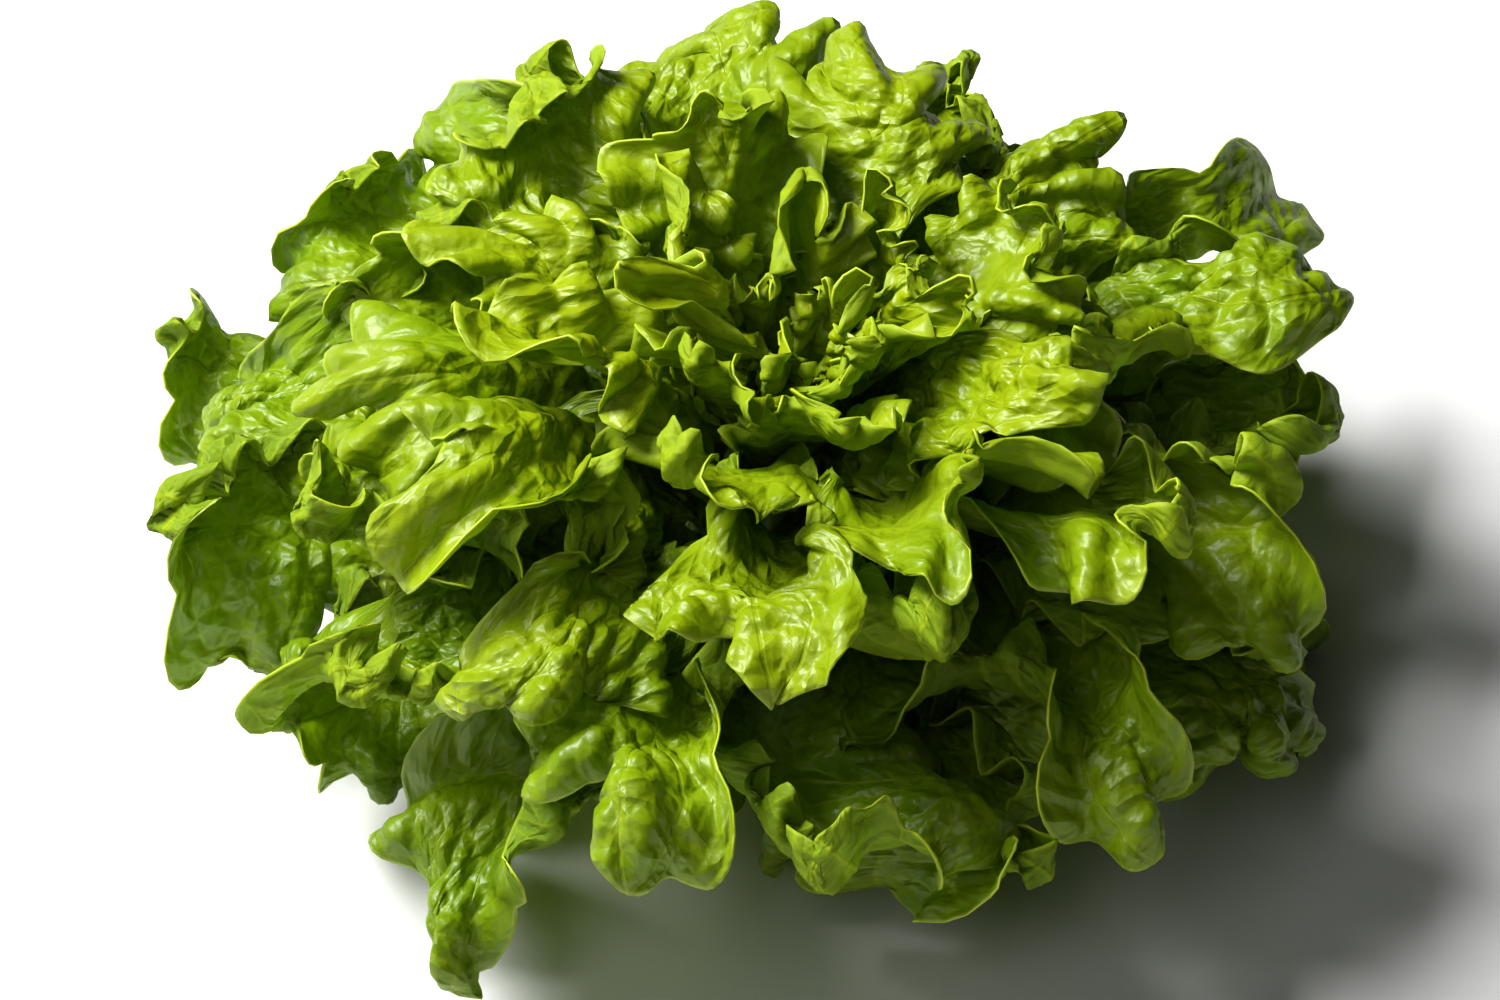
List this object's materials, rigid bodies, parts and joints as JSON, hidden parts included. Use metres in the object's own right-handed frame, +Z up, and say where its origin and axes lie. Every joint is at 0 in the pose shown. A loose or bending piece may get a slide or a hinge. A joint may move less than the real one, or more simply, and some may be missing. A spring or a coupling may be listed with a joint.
{
  "type": "green oak leaf lettuce",
  "caption": "Loose head of green lettuce: lobed, ruffled leaves in a spiral round an open heart, standing on its cut stem.",
  "frame": {"origin": "the middle of the cut face under the stem, on which the head stands", "axes": "+Z up along the stem, -Y towards the side that the picture shows in front"},
  "size_m": [0.2768, 0.2819, 0.1288],
  "materials": {
    "leaf": "satin",
    "stem": "satin"
  },
  "bodies": {
    "root": {"stem": "stem", "leaf_01": "leaf", "leaf_02": "leaf", "leaf_03": "leaf", "leaf_04": "leaf", "leaf_05": "leaf", "leaf_06": "leaf", "leaf_07": "leaf", "leaf_08": "leaf", "leaf_09": "leaf", "leaf_10": "leaf", "leaf_11": "leaf", "leaf_12": "leaf", "leaf_13": "leaf", "leaf_14": "leaf", "leaf_15": "leaf", "leaf_16": "leaf", "leaf_17": "leaf", "leaf_18": "leaf", "leaf_19": "leaf", "leaf_20": "leaf", "leaf_21": "leaf", "leaf_22": "leaf", "leaf_23": "leaf", "leaf_24": "leaf", "leaf_25": "leaf", "leaf_26": "leaf", "leaf_27": "leaf", "leaf_28": "leaf", "leaf_29": "leaf", "leaf_30": "leaf", "leaf_31": "leaf", "leaf_32": "leaf", "leaf_33": "leaf", "leaf_34": "leaf", "leaf_35": "leaf", "leaf_36": "leaf", "leaf_37": "leaf", "leaf_38": "leaf", "leaf_39": "leaf", "leaf_40": "leaf", "leaf_41": "leaf", "leaf_42": "leaf", "leaf_43": "leaf", "leaf_44": "leaf", "leaf_45": "leaf", "leaf_46": "leaf", "leaf_47": "leaf", "leaf_48": "leaf", "leaf_49": "leaf", "leaf_50": "leaf", "leaf_51": "leaf", "leaf_52": "leaf", "leaf_53": "leaf", "leaf_54": "leaf"}
  },
  "joints": []
}
